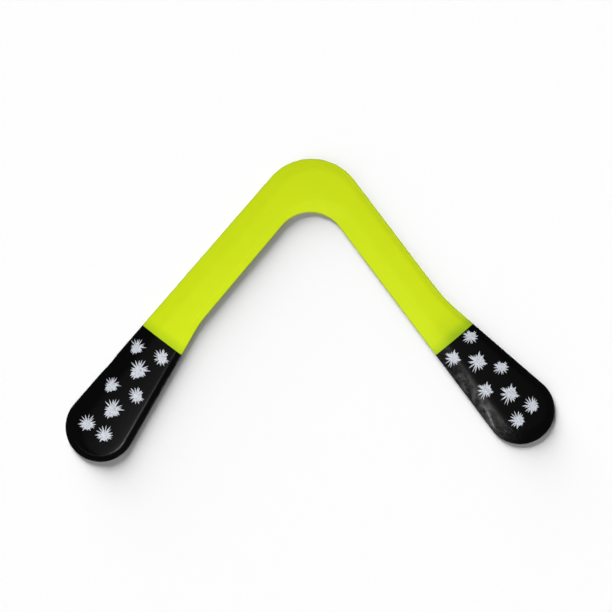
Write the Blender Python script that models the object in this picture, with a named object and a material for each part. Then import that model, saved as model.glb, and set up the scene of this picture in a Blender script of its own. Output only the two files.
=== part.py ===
"""A V-shaped throwing boomerang: a one-piece moulded blade with a thin moulded cover over each tip.

It lies flat with its airfoil side up, its elbow towards +Y and its two tips towards -Y. The
origin is under the middle of its outline. The design is in millimetres and Blender's units are
metres, so MM scales every point as it goes into a mesh.
"""

from math import pi, radians

import bmesh
import bpy
import numpy as np

MM = 0.001
WELD = 0.000001

# The outline is a belt drawn tight round six circles, clockwise from the left tip. Each circle
# is (centre x, centre y, radius), measured from the centre of the elbow's outer arc, and a
# negative radius is a circle that lies outside the belt.
LEFT_TIP = (-146.3, -157.8, 25.0)
ELBOW_OUTSIDE = (0.0, 0.0, 38.5)
RIGHT_FLARE = (184.0, 29.0, -123.0)
RIGHT_TIP = (153.5, -136.5, 24.7)
ELBOW_INSIDE = (0.0, -26.2, -26.3)
LEFT_FLARE = (-21.5, -118.0, -66.5)
OUTLINE = (LEFT_TIP, ELBOW_OUTSIDE, RIGHT_FLARE, RIGHT_TIP, ELBOW_INSIDE, LEFT_FLARE)
ARC_STEP = radians(0.5)

# The airfoil section at an edge, as three corners (distance in from the edge, height) from the
# top face over the edge to the flat underside, and the radius that rounds each corner.
THICKNESS = 5.0
LEADING_CORNERS = ((4.4, THICKNESS), (0.0, 2.2), (0.0, 0.0))
LEADING_RADII = (2.5, 1.2, 1.0)
TRAILING_CORNERS = ((11.0, THICKNESS), (0.0, 1.7), (0.0, 0.0))
TRAILING_RADII = (16.0, 0.7, 0.6)
CORNER_POINTS = (4, 4, 3)

# Each cover is a sleeve round a thinner tongue at the end of the blade. A shell of the section
# is (depth under the outer faces, distance in from the edge).
OUTER_SHELL = (0.0, 0.0)
CAVITY_SHELL = (0.7, 3.7)
TONGUE_SHELL = (1.0, 4.0)
SHELL_RADIUS = 0.3
COVER_START = 115.6
FIT_GAP = 0.3

# Ribs cross each arm a little off square, like the open ends of the covers.
ARM_ANGLE = radians(38.8)
RIB_SKEW = radians(3.3)
ELBOW_RIBS = 22
ARM_RIBS = 13
COVER_RIBS = 10
CAP_SPOKES = 24
CAP_BLEND = (0.2, 0.8)

NEON_YELLOW = (0.62, 0.80, 0.012, 1.0)
SATIN_BLACK = (0.006, 0.006, 0.006, 1.0)


def clear_scene():
    """Remove every object of the startup scene."""
    for obj in list(bpy.data.objects):
        bpy.data.objects.remove(obj, do_unlink=True)


def heading(angle):
    """The unit vector, or a row of them, at an angle from +X."""
    return np.stack([np.cos(angle), np.sin(angle)], axis=-1)


def angle_of(vector):
    """The angle of a vector from +X."""
    return np.arctan2(vector[1], vector[0])


def smooth_step(x, start, end):
    """A ramp from 0 at start to 1 at end, level at both."""
    share = np.clip((x - start) / (end - start), 0.0, 1.0)
    return share * share * (3.0 - 2.0 * share)


# The outline.


def belt_tangent(first, second):
    """Where the belt leaves one circle and where it meets the next."""
    apart = np.subtract(second[:2], first[:2])
    distance = np.hypot(*apart)
    along = apart / distance
    across = np.array([-along[1], along[0]])
    lean = (first[2] - second[2]) / distance
    normal = lean * along + np.sqrt(1.0 - lean**2) * across
    return first[:2] + first[2] * normal, second[:2] + second[2] * normal


def belt_arc(circle, start, end):
    """Points where the belt lies on a circle, clockwise on one inside the belt."""
    begin = angle_of(start - circle[:2])
    turn = angle_of(end - circle[:2]) - begin
    turn = -(-turn % (2 * pi)) if circle[2] > 0 else turn % (2 * pi)
    shares = np.linspace(0.0, 1.0, 2 + int(abs(turn) / ARC_STEP))
    return circle[:2] + abs(circle[2]) * heading(begin + turn * shares)


def outline_points():
    """The closed outline, as the arcs of the belt. The runs between them are straight."""
    tangents = [belt_tangent(one, two) for one, two in zip(OUTLINE, OUTLINE[1:] + OUTLINE[:1])]
    meets = [tangents[i - 1][1] for i in range(len(OUTLINE))]
    leaves = [tangent[0] for tangent in tangents]
    return np.concatenate([belt_arc(*stretch) for stretch in zip(OUTLINE, meets, leaves)])


# Ribs. A rib is the pair of outline points, inner edge then outer edge, that a ray from inside
# the V crosses.


def rib(outline, base, direction):
    """The rib that a ray crosses."""
    offset = outline - base
    side = direction[0] * offset[:, 1] - direction[1] * offset[:, 0]
    reach = offset @ direction
    next_side = np.roll(side, -1)
    crossed = side * next_side < 0
    share = side[crossed] / (side - next_side)[crossed]
    distances = reach[crossed] + share * (np.roll(reach, -1) - reach)[crossed]
    inner, outer = np.sort(distances[distances > 0])[:2]
    return base + inner * direction, base + outer * direction


class Arm:
    """One arm, from the elbow to its round tip."""

    def __init__(self, name, side, tip, outline):
        """side is -1 for the left arm and 1 for the right."""
        self.name = name
        self.side = side
        self.tip_centre = np.array(tip[:2])
        self.tip_radius = tip[2]
        self.outline = outline
        self.rib_angle = pi / 2 - side * (pi / 2 - ARM_ANGLE) + RIB_SKEW
        self.along = heading(self.rib_angle - side * pi / 2)
        self.length = (self.tip_centre - ELBOW_INSIDE[:2]) @ self.along
        self.inner_trailing = (1 + side) / 2

    def ribs(self, start, end, count):
        """Parallel ribs between two distances along the arm."""
        bases = ELBOW_INSIDE[:2] + np.outer(np.linspace(start, end, count), self.along)
        return np.array([rib(self.outline, base, heading(self.rib_angle)) for base in bases])

    def skin(self, start, shell):
        """Three patches of a shell from a distance along the arm to the tip: sides and cap."""
        ribs = self.ribs(start, self.length, COVER_RIBS)
        inner, outer = side_patches(ribs, np.full(COVER_RIBS, self.inner_trailing), shell)
        return [inner, self.cap(shell), outer]

    def cap(self, shell):
        """The half disc of a shell round the tip, as spokes from the inner edge to the outer."""
        share = np.linspace(0.0, 1.0, CAP_SPOKES + 1)
        spokes = heading(self.rib_angle + pi + self.side * pi * share)
        edges = self.tip_centre + self.tip_radius * spokes
        centres = np.broadcast_to(self.tip_centre, edges.shape)
        turned = smooth_step(share, *CAP_BLEND)
        return half_sections(edges, centres, abs(self.inner_trailing - turned), shell)

    def end_face(self, start, shell):
        """Two patches that close the ring between the outer faces and a shell inside them."""
        ribs = self.ribs(start, start, 1)
        weights = np.array([self.inner_trailing])
        outside = side_patches(ribs, weights, OUTER_SHELL)
        inside = side_patches(ribs, weights, shell)
        return [np.concatenate(pair) for pair in zip(outside, inside)]


def elbow_ribs(left, right):
    """Ribs that fan out round the elbow's inner arc, and how far each is from left to right."""
    share = np.linspace(0.0, 1.0, ELBOW_RIBS + 1)[1:-1]
    rays = heading(left.rib_angle + (right.rib_angle - left.rib_angle) * share)
    return np.array([rib(left.outline, np.array(ELBOW_INSIDE[:2]), ray) for ray in rays]), share


# Sections.


def shell_corners(corners, shell):
    """The corners of an edge section, moved in to a shell."""
    depth, rim = shell
    (top_in, top), (_, shoulder), _ = corners
    slope = (top - shoulder) / top_in
    drop = depth * np.hypot(1.0, slope)
    return (
        ((top - depth - shoulder + drop) / slope, top - depth),
        (rim, shoulder + slope * rim - drop),
        (rim, depth),
    )


def fillet(before, corner, after, radius, count):
    """Points along the arc that rounds a corner."""
    back, ahead = (np.subtract(point, corner) for point in (before, after))
    back, ahead = back / np.hypot(*back), ahead / np.hypot(*ahead)
    half = np.arccos(back @ ahead) / 2
    middle = (back + ahead) / np.hypot(*(back + ahead))
    centre = corner + middle * radius / np.sin(half)
    begin = angle_of(corner + back * radius / np.tan(half) - centre)
    turn = angle_of(corner + ahead * radius / np.tan(half) - centre) - begin
    turn = (turn + pi) % (2 * pi) - pi
    return centre + radius * heading(begin + turn * np.linspace(0.0, 1.0, count))


def edge_section(corners, radii, shell):
    """The rounded section at an edge, from the top face to the underside."""
    if shell != OUTER_SHELL:
        corners = shell_corners(corners, shell)
        radii = (SHELL_RADIUS,) * len(corners)
    far = 2 * TRAILING_CORNERS[0][0]
    chain = ((far, corners[0][1]), *corners, (far, corners[-1][1]))
    neighbours = zip(chain, chain[1:], chain[2:], radii, CORNER_POINTS)
    return np.concatenate([fillet(*corner) for corner in neighbours])


def half_sections(edges, middles, trailing, shell):
    """A grid of sections, each from the middle of the top face over the edge to the underside.

    trailing says how far each section is from a leading edge, 0, to a trailing edge, 1.
    """
    leading_edge = edge_section(LEADING_CORNERS, LEADING_RADII, shell)
    trailing_edge = edge_section(TRAILING_CORNERS, TRAILING_RADII, shell)
    blend = np.asarray(trailing)[:, None, None]
    section = (1 - blend) * leading_edge + blend * trailing_edge
    inward = middles - edges
    reach = np.hypot(*inward.T)[:, None]
    inward = inward / reach
    top, bottom = section[:, :1], section[:, -1:]
    depth = np.hstack([reach, (reach + top[..., 0]) / 2, section[..., 0], (reach + bottom[..., 0]) / 2, reach])
    height = np.hstack([top[..., 1]] * 2 + [section[..., 1]] + [bottom[..., 1]] * 2)
    flat = edges[:, None] + depth[..., None] * inward[:, None]
    return np.concatenate([flat, height[..., None]], axis=-1)


def side_patches(ribs, inner_trailing, shell):
    """The inner and the outer half of a shell along a run of ribs."""
    middles = ribs.mean(axis=1)
    inner = half_sections(ribs[:, 0], middles, inner_trailing, shell)
    outer = half_sections(ribs[:, 1], middles, 1 - inner_trailing, shell)
    return inner, outer


# Objects.


def add_patch(bm, points):
    """Add a grid of points as quads."""
    rows, columns = points.shape[:2]
    verts = [bm.verts.new(point) for point in points.reshape(-1, 3) * MM]
    for row in range(rows - 1):
        for column in range(columns - 1):
            corner = row * columns + column
            ring = (corner, corner + 1, corner + columns + 1, corner + columns)
            bm.faces.new([verts[i] for i in ring])


def add_object(name, patches, origin, material, collection):
    """One closed body from patches that meet along their edges."""
    bm = bmesh.new()
    for patch in patches:
        add_patch(bm, patch - (*origin, 0.0))
    bmesh.ops.remove_doubles(bm, verts=bm.verts, dist=WELD)
    bmesh.ops.recalc_face_normals(bm, faces=bm.faces)
    mesh = bpy.data.meshes.new(name)
    bm.to_mesh(mesh)
    bm.free()
    mesh.shade_smooth()
    mesh.set_sharp_from_angle(angle=radians(40))
    mesh.materials.append(material)
    collection.objects.link(bpy.data.objects.new(name, mesh))


def plastic(name, colour, roughness):
    """A plastic, as a Principled BSDF."""
    material = bpy.data.materials.new(name)
    material.use_nodes = True
    shader = material.node_tree.nodes["Principled BSDF"]
    shader.inputs["Base Color"].default_value = colour
    shader.inputs["Roughness"].default_value = roughness
    shader.inputs["Metallic"].default_value = 0.0
    return material


def blade_patches(left, right):
    """The yellow blade: the elbow, both bare arms, and a tongue into each cover."""
    elbow, share = elbow_ribs(left, right)
    left_ribs = left.ribs(COVER_START, 0.0, ARM_RIBS)
    right_ribs = right.ribs(0.0, COVER_START, ARM_RIBS)
    ribs = np.concatenate([left_ribs, elbow, right_ribs])
    turned = np.concatenate([np.zeros(ARM_RIBS), smooth_step(share, 0.0, 1.0), np.ones(ARM_RIBS)])
    patches = list(side_patches(ribs, turned, OUTER_SHELL))
    for arm in (left, right):
        patches += arm.end_face(COVER_START, TONGUE_SHELL)
        patches += arm.skin(COVER_START, TONGUE_SHELL)
    return patches


def cover_patches(arm):
    """A tip cover: its outer faces, its open end, and the cavity that holds the tongue."""
    start = COVER_START + FIT_GAP
    outside = arm.skin(start, OUTER_SHELL)
    inside = arm.skin(start, CAVITY_SHELL)
    return outside + arm.end_face(start, CAVITY_SHELL) + inside


def build_boomerang():
    """Build the blade and its two tip covers."""
    clear_scene()
    collection = bpy.data.collections.new("boomerang")
    bpy.context.scene.collection.children.link(collection)
    yellow = plastic("neon_yellow_plastic", NEON_YELLOW, 0.45)
    black = plastic("satin_black_plastic", SATIN_BLACK, 0.4)
    outline = outline_points()
    origin = (outline.min(axis=0) + outline.max(axis=0)) / 2
    left = Arm("left", -1, LEFT_TIP, outline)
    right = Arm("right", 1, RIGHT_TIP, outline)
    add_object("blade", blade_patches(left, right), origin, yellow, collection)
    for arm in (left, right):
        add_object(f"{arm.name}_tip_cover", cover_patches(arm), origin, black, collection)


build_boomerang()
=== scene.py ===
"""The looks of a V-shaped boomerang: fine meshes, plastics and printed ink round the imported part.

The boomerang lies on its flat underside with its airfoil side up and its elbow towards +Y.
Shapes are worked out in millimetres, from the outline's circles and the airfoil's corners, and
scaled to metres as they go into a mesh. Every surface is a grid of points in two parameters:
one runs along the arms, and the other runs from the middle of the top face over an edge to the
middle of the underside.
"""

import logging
from dataclasses import dataclass, field
from enum import Enum
from functools import cached_property, reduce

import bmesh
import bpy
import numpy as np
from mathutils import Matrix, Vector
from numpy.typing import NDArray


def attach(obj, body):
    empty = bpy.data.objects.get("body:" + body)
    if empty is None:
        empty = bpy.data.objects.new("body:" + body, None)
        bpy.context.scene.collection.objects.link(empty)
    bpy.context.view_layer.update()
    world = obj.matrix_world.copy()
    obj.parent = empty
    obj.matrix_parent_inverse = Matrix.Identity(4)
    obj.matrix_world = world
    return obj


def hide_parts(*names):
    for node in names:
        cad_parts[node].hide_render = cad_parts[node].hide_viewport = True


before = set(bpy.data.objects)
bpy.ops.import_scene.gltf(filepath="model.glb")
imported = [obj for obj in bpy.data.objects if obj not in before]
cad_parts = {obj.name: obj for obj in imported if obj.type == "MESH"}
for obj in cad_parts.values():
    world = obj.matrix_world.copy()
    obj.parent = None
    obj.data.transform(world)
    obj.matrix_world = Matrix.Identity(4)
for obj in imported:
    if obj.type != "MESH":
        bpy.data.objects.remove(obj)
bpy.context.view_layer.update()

Array = NDArray[np.float64]
LOG = logging.getLogger("boomerang")
MM = 0.001
BODY = "root"


class Side(Enum):
    """An arm, by the sign of its X."""

    LEFT = -1
    RIGHT = 1


class Shell(Enum):
    """A skin of the section, as (depth under the outer faces, distance in from the edge)."""

    OUTER = (0.0, 0.0)
    LIP = (0.12, 0.12)
    CAVITY = (0.7, 3.7)
    TONGUE = (1.0, 4.0)

    @property
    def depth(self) -> float:
        """How far under the outer faces the skin lies."""
        return self.value[0]

    @property
    def rim(self) -> float:
        """How far in from the edge the skin lies."""
        return self.value[1]

    @property
    def hidden(self) -> bool:
        """Whether the skin lies inside a cover."""
        return self in (Shell.CAVITY, Shell.TONGUE)


class Slot(Enum):
    """A material slot."""

    YELLOW = "yellow_plastic"
    BLACK = "black_plastic"
    INK = "white_ink"


def heading(angle: Array | float) -> Array:
    """Return the unit vector, or a row of them, at an angle from +X."""
    return np.stack([np.cos(angle), np.sin(angle)], axis=-1)


def turned(vectors: Array) -> Array:
    """Return plane vectors turned a quarter turn to the left."""
    return np.stack([-vectors[..., 1], vectors[..., 0]], axis=-1)


def smooth_step(x: Array, start: float, end: float) -> Array:
    """Ramp from 0 at start to 1 at end, level at both ends.

    Args:
        x: Where to read the ramp.
        start: Where it leaves 0.
        end: Where it reaches 1.

    Returns:
        3s^2 - 2s^3 of the clipped share s of the way from start to end.
    """
    share = np.clip((x - start) / (end - start), 0.0, 1.0)
    return share * share * (3.0 - 2.0 * share)


# Shape


@dataclass(frozen=True)
class Circle:
    """A circle that the outline passes round, or on the far side of if its radius is negative."""

    x: float
    y: float
    radius: float

    @property
    def centre(self) -> Array:
        """The centre."""
        return np.array([self.x, self.y])


@dataclass(frozen=True)
class Planform:
    """The outline from above: a belt drawn tight round six circles, clockwise from the left tip.

    Places are measured from the centre of the elbow's outer arc.
    """

    left_tip: Circle = Circle(-146.3, -157.8, 24.97)
    elbow_outside: Circle = Circle(0.0, 0.0, 38.47)
    right_flare: Circle = Circle(184.0, 29.0, -123.03)
    right_tip: Circle = Circle(153.5, -136.5, 24.67)
    elbow_inside: Circle = Circle(0.0, -26.2, -26.33)
    left_flare: Circle = Circle(-21.5, -118.0, -66.53)
    arm_angle: float = np.radians(38.8)
    rib_skew: float = np.radians(3.3)
    arc_step: float = np.radians(0.5)

    @staticmethod
    def tangent(first: Circle, second: Circle) -> tuple[Array, Array]:
        """Find the straight run of the belt between two circles.

        Args:
            first: The circle that the belt leaves.
            second: The circle that it meets.

        Returns:
            Both ends of the run: each centre plus its signed radius times the run's normal.
        """
        apart = second.centre - first.centre
        distance = np.hypot(*apart)
        lean = (first.radius - second.radius) / distance
        along = apart / distance
        normal = lean * along + np.sqrt(1.0 - lean**2) * turned(along)
        return first.centre + first.radius * normal, second.centre + second.radius * normal

    def arc(self, circle: Circle, start: Array, end: Array) -> Array:
        """Sample the belt where it lies on a circle.

        Args:
            circle: The circle.
            start: Where the belt meets it.
            end: Where the belt leaves it.

        Returns:
            Points at even angles, clockwise on a circle inside the belt.
        """
        begin, finish = (np.arctan2(*(p - circle.centre)[::-1]) for p in (start, end))
        sense = -np.sign(circle.radius)
        turn = sense * ((sense * (finish - begin)) % (2 * np.pi))
        shares = np.linspace(0.0, 1.0, 2 + int(abs(turn) / self.arc_step))
        return circle.centre + abs(circle.radius) * heading(begin + turn * shares)

    @cached_property
    def outline(self) -> Array:
        """The closed outline.

        Returns:
            The points of its arcs, clockwise. The runs between them are straight.
        """
        circles = (
            self.left_tip,
            self.elbow_outside,
            self.right_flare,
            self.right_tip,
            self.elbow_inside,
            self.left_flare,
        )
        runs = [self.tangent(a, b) for a, b in zip(circles, circles[1:] + circles[:1])]
        arcs = [self.arc(c, runs[i - 1][1], runs[i][0]) for i, c in enumerate(circles)]
        return np.concatenate(arcs)

    @cached_property
    def origin(self) -> Array:
        """The middle of the outline's box, which is the part's own origin."""
        return (self.outline.min(axis=0) + self.outline.max(axis=0)) / 2

    def ribs(self, bases: Array, directions: Array) -> tuple[Array, Array]:
        """Cross an arm with rays that start inside the V.

        Args:
            bases: Where each ray starts, one row each.
            directions: Each ray's unit direction.

        Returns:
            The points where each ray crosses the inner and the outer edge, as (rays, 2, 2), and
            each crossing's slant, as (rays, 2): the cosine between the ray and the edge's normal.
        """
        corners = self.outline
        offset = corners[None] - bases[:, None]
        side = np.einsum("rj,rnj->rn", turned(directions), offset)
        reach = np.einsum("rj,rnj->rn", directions, offset)
        next_side, next_reach = np.roll(side, -1, axis=1), np.roll(reach, -1, axis=1)
        crossed = side * next_side < 0
        share = np.where(crossed, side / np.where(crossed, side - next_side, 1.0), 0.0)
        distance = np.where(crossed, reach + share * (next_reach - reach), np.inf)
        distance[distance <= 0] = np.inf
        order = np.argsort(distance, axis=1)[:, :2]
        near = np.take_along_axis(distance, order, axis=1)
        run = np.roll(corners, -1, axis=0) - corners
        normal = turned(run / np.hypot(*run.T)[:, None])[order]
        slant = abs(np.einsum("rkj,rj->rk", normal, directions))
        return bases[:, None] + near[..., None] * directions[:, None], slant


@dataclass(frozen=True)
class EdgeSection:
    """The section at one kind of edge.

    Three corners, as (distance in, height), go from the top face over the edge to the flat
    underside, and a radius rounds each of them.
    """

    corners: tuple[tuple[float, float], ...]
    radii: tuple[float, float, float]
    counts: tuple[int, int, int] = (9, 8, 6)
    far: float = 22.0
    least_radius: float = 0.3

    def inset(self, shell: Shell) -> tuple[tuple[float, float], ...]:
        """Move the corners in to a shell, keeping the slope between the first two.

        Args:
            shell: The skin to follow.

        Returns:
            The three corners. The slope's line sinks by the shell's depth square to itself, and
            the side stands in from the edge by the shell's rim.
        """
        depth, rim = shell.depth, shell.rim
        (top_in, top), (_, shoulder), _ = self.corners
        slope = (top - shoulder) / top_in
        drop = depth * np.hypot(1.0, slope)
        return (
            ((top - depth - shoulder + drop) / slope, top - depth),
            (rim, shoulder + slope * rim - drop),
            (rim, depth),
        )

    @staticmethod
    def fillet(chain: Array, radius: float, count: int) -> Array:
        """Round one corner.

        Args:
            chain: The point before the corner, the corner, and the point after it.
            radius: The arc's radius.
            count: How many points it gets.

        Returns:
            Points on the arc that touches both straight sides.
        """
        sides = chain[[0, 2]] - chain[1]
        sides /= np.hypot(*sides.T)[:, None]
        half = np.arccos(sides[0] @ sides[1]) / 2
        middle = sides.sum(axis=0)
        centre = chain[1] + middle / np.hypot(*middle) * radius / np.sin(half)
        ends = chain[1] + sides * radius / np.tan(half) - centre
        begin, finish = np.arctan2(ends[:, 1], ends[:, 0])
        turn = (finish - begin + np.pi) % (2 * np.pi) - np.pi
        return centre + radius * heading(begin + turn * np.linspace(0.0, 1.0, count))

    def points(self, shell: Shell) -> Array:
        """Sample the rounded section of a shell.

        Args:
            shell: The skin to follow.

        Returns:
            (distance in, height) points from the top face to the underside. A radius shrinks by
            the shell's depth, and corners inside a cover are nearly sharp.
        """
        corners = self.inset(shell)
        far_ends = (self.far, corners[0][1]), (self.far, corners[-1][1])
        chain = np.array([far_ends[0], *corners, far_ends[1]])
        radii = [max(radius - shell.depth, self.least_radius) for radius in self.radii]
        if shell.hidden:
            radii = [self.least_radius] * 3
        arcs = [self.fillet(chain[i : i + 3], radii[i], self.counts[i]) for i in range(3)]
        return np.concatenate(arcs)


@dataclass(frozen=True)
class Airfoil:
    """The section of the blade: a blunt leading edge and a long taper to the trailing edge."""

    leading: EdgeSection = EdgeSection(((4.4, 4.95), (0.0, 2.2), (0.0, 0.0)), (5.0, 1.2, 1.0))
    trailing: EdgeSection = EdgeSection(((11.0, 4.95), (0.0, 1.7), (0.0, 0.0)), (20.0, 1.3, 0.6))
    crown: float = 0.16
    top_rows: int = 7
    bottom_rows: int = 4

    def crowned(self, height: Array, share: Array) -> Array:
        """Lower a height from the middle line out: by the crown times its share squared."""
        return height * (1.0 - self.crown * share**2)

    def sections(self, trailing: Array, shell: Shell) -> Array:
        """Blend the two kinds of edge.

        Args:
            trailing: For each section, 0 at a leading edge to 1 at a trailing edge.
            shell: The skin to follow.

        Returns:
            (distance in, height) points of each section, as (sections, points, 2).
        """
        share = trailing[:, None, None]
        return (1 - share) * self.leading.points(shell) + share * self.trailing.points(shell)

    def half_grid(
        self, edges: Array, middles: Array, slant: Array, trailing: Array, shell: Shell
    ) -> Array:
        """Lay sections side by side along an edge.

        Args:
            edges: A point on the outline for each section.
            middles: The point that each section ends over, half way across the arm.
            slant: The cosine between each section's plane and the edge's normal.
            trailing: For each section, 0 at a leading edge to 1 at a trailing edge.
            shell: The skin to follow.

        Returns:
            A grid of (x, y, height, distance in, trailing) rows, one for each section, from the
            middle of the top face over the edge to the middle of the underside.
        """
        section = self.sections(trailing, shell)
        inward = middles - edges
        reach = np.hypot(*inward.T)[:, None]
        inside = section[..., 0] / slant[:, None]
        top = np.linspace(1.0, 0.0, self.top_rows, endpoint=False)
        bottom = np.linspace(0.0, 1.0, self.bottom_rows + 1)[1:]
        first, last = inside[:, :1], inside[:, -1:]
        depth = np.hstack([first + (reach - first) * top, inside, last + (reach - last) * bottom])
        height = np.pad(section[..., 1], ((0, 0), (self.top_rows, self.bottom_rows)), mode="edge")
        height = self.crowned(height, 1.0 - depth / reach)
        plane = edges[:, None] + depth[..., None] * (inward / reach)[:, None]
        facts = [height, depth * slant[:, None], trailing[:, None] + np.zeros_like(depth)]
        return np.concatenate([plane, np.stack(facts, axis=-1)], axis=-1)

    def top_height(self, inside: Array, trailing: Array) -> Array:
        """Height of the top face at a distance in from an edge.

        Args:
            inside: Distance in from the edge, square to it.
            trailing: 0 at a leading edge to 1 at a trailing edge, for each point.

        Returns:
            The height, read along the straight pieces of each point's own section.
        """
        top_count = self.leading.counts[0] + self.leading.counts[1]
        section = self.sections(trailing, Shell.OUTER)[:, :top_count]
        further = (section[..., 0] >= inside[:, None]).sum(axis=1)
        index = np.clip(further - 1, 0, top_count - 2)
        rows = np.arange(len(inside))
        near, far = section[rows, index + 1], section[rows, index]
        share = np.clip((inside - near[:, 0]) / (far[:, 0] - near[:, 0]), 0.0, 1.0)
        return near[:, 1] + share * (far[:, 1] - near[:, 1])


@dataclass(frozen=True)
class Dent:
    """A shallow knock in an arm's outer edge."""

    along: float
    width: float
    depth: float

    def at(self, along: Array) -> Array:
        """Depth of the knock along the arm: a bell curve."""
        return self.depth * np.exp(-(((along - self.along) / self.width) ** 2))


@dataclass(frozen=True)
class Arm:
    """One arm, from the elbow's inner centre to its round tip."""

    side: Side
    planform: Planform
    airfoil: Airfoil
    dent: Dent | None = None
    cap_blend: tuple[float, float] = (0.2, 0.8)

    @property
    def tip(self) -> Circle:
        """The circle of the arm's tip."""
        return self.planform.left_tip if self.side is Side.LEFT else self.planform.right_tip

    @property
    def name(self) -> str:
        """The arm's name."""
        return self.side.name.lower()

    @property
    def rib_angle(self) -> float:
        """The angle of the ribs, from the inner edge to the outer one."""
        from_middle = np.pi / 2 - self.planform.arm_angle
        return np.pi / 2 - self.side.value * from_middle + self.planform.rib_skew

    @property
    def across(self) -> Array:
        """The direction of a rib."""
        return heading(self.rib_angle)

    @property
    def along(self) -> Array:
        """The direction square to the ribs, towards the tip."""
        return heading(self.rib_angle - self.side.value * np.pi / 2)

    @property
    def start(self) -> Array:
        """Where distances along the arm are measured from."""
        return self.planform.elbow_inside.centre

    @property
    def length(self) -> float:
        """How far along the arm its tip's centre is."""
        return float((self.tip.centre - self.start) @ self.along)

    @property
    def inner_trailing(self) -> float:
        """1 where the inner edge is the trailing one, which is on the right arm."""
        return (1 + self.side.value) / 2

    def ribs(self, along: Array) -> tuple[Array, Array]:
        """Cross the arm at distances along it.

        Args:
            along: The distances.

        Returns:
            Each rib's inner and outer ends and their slants, as the planform gives them, with any
            dent pressed into the outer edge.
        """
        bases = self.start + along[:, None] * self.along
        edges, slant = self.planform.ribs(bases, np.tile(self.across, (len(along), 1)))
        if self.dent:
            edges[:, 1] -= self.dent.at(along)[:, None] * self.across
        return edges, slant

    def sides(self, along: Array, shell: Shell) -> list[Array]:
        """Lay a shell along the arm.

        Args:
            along: The distances along the arm, one for each section.
            shell: The skin to follow.

        Returns:
            Two grids: the inner edge's half and the outer edge's.
        """
        edges, slant = self.ribs(along)
        middles = edges.mean(axis=1)
        trailing = np.full(len(along), self.inner_trailing)
        inner = self.airfoil.half_grid(edges[:, 0], middles, slant[:, 0], trailing, shell)
        outer = self.airfoil.half_grid(edges[:, 1], middles, slant[:, 1], 1 - trailing, shell)
        return [inner, outer]

    def cap_trailing(self, share: Array) -> Array:
        """How far round the tip the leading edge has become the trailing one."""
        return abs(self.inner_trailing - smooth_step(share, *self.cap_blend))

    def cap(self, spokes: int, shell: Shell) -> Array:
        """Lay a shell round the tip.

        Args:
            spokes: How many steps it takes from the inner edge round to the outer one.
            shell: The skin to follow.

        Returns:
            A grid of sections that fan out from the tip's centre at even angles.
        """
        share = np.linspace(0.0, 1.0, spokes + 1)
        rays = heading(self.rib_angle + np.pi * (1 + self.side.value * share))
        edges = self.tip.centre + self.tip.radius * rays
        centres = np.tile(self.tip.centre, (len(edges), 1))
        trailing = self.cap_trailing(share)
        return self.airfoil.half_grid(edges, centres, np.ones(len(edges)), trailing, shell)

    def top(self, points: Array) -> Array:
        """Height of the top face over points of the plane, in the covered part of the arm.

        Args:
            points: Plane points, one row each.

        Returns:
            The airfoil's height at each: beside the arm's axis, the lower of the heights that
            the two edges give, and past the tip's centre the height at that distance from the
            tip's rim.
        """
        along = (points - self.start) @ self.along
        across = (points - self.start) @ self.across
        edges, slant = self.ribs(np.clip(along, 0.0, self.length))
        reach = (edges - self.start) @ self.across
        trailing = np.full(len(points), self.inner_trailing)
        from_inner = self.airfoil.top_height((across - reach[:, 0]) * slant[:, 0], trailing)
        from_outer = self.airfoil.top_height((reach[:, 1] - across) * slant[:, 1], 1 - trailing)
        from_middle = abs(2 * across - reach.sum(axis=1)) / (reach[:, 1] - reach[:, 0])
        offset = points - self.tip.centre
        radial = np.hypot(*offset.T)
        turn = np.arctan2(offset @ self.along, -(offset @ self.across)) / np.pi
        round_tip = self.cap_trailing(np.clip(turn, 0, 1))
        rim = self.airfoil.top_height(self.tip.radius - radial, round_tip)
        height = np.where(along > self.length, rim, np.minimum(from_inner, from_outer))
        share = np.where(along > self.length, radial / self.tip.radius, from_middle)
        return self.airfoil.crowned(height, share)


# Meshes


@dataclass
class Patchwork:
    """A closed mesh from grids of points that meet along their edges.

    A grid's rows hold x, y and z in millimetres, and then one number for each of the facts, which
    become attributes of the mesh's points.
    """

    name: str
    origin: Array
    facts: tuple[str, ...]
    grids: list[Array] = field(default_factory=list)
    weld: float = 1e-6
    sharp_angle: float = np.radians(50)

    @staticmethod
    def quads(rows: int, columns: int, first: int) -> NDArray[np.int64]:
        """Corner numbers of a grid's quads, whose first point has the number given."""
        corner = first + np.arange((rows - 1) * columns).reshape(rows - 1, columns)[:, :-1].ravel()
        return np.stack([corner, corner + 1, corner + columns + 1, corner + columns], axis=1)

    def build(self) -> bpy.types.Object:
        """Weld the grids into one mesh object at the origin.

        Returns:
            The object, with its faces outwards and its round surfaces shaded smooth.
        """
        rows = np.concatenate([grid.reshape(-1, grid.shape[-1]) for grid in self.grids])
        points = (rows[:, :3] - [*self.origin, 0.0]) * MM
        firsts = np.cumsum([0] + [grid.shape[0] * grid.shape[1] for grid in self.grids])
        faces = np.concatenate([self.quads(*g.shape[:2], f) for g, f in zip(self.grids, firsts)])
        mesh = bpy.data.meshes.new(self.name)
        mesh.from_pydata(points, [], faces)
        for index, fact in enumerate(self.facts, start=3):
            layer = mesh.attributes.new(fact, "FLOAT", "POINT")
            layer.data.foreach_set("value", rows[:, index].astype(np.float32))
        bm = bmesh.new()
        bm.from_mesh(mesh)
        bmesh.ops.remove_doubles(bm, verts=bm.verts, dist=self.weld)
        bmesh.ops.dissolve_degenerate(bm, edges=bm.edges, dist=self.weld)
        bmesh.ops.recalc_face_normals(bm, faces=bm.faces)
        bm.to_mesh(mesh)
        bm.free()
        mesh.shade_smooth()
        mesh.set_sharp_from_angle(angle=self.sharp_angle)
        piece = bpy.data.objects.new(self.name, mesh)
        bpy.context.scene.collection.objects.link(piece)
        return piece


# Pieces

FACTS = ("inset", "trailing", "seam")


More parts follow.
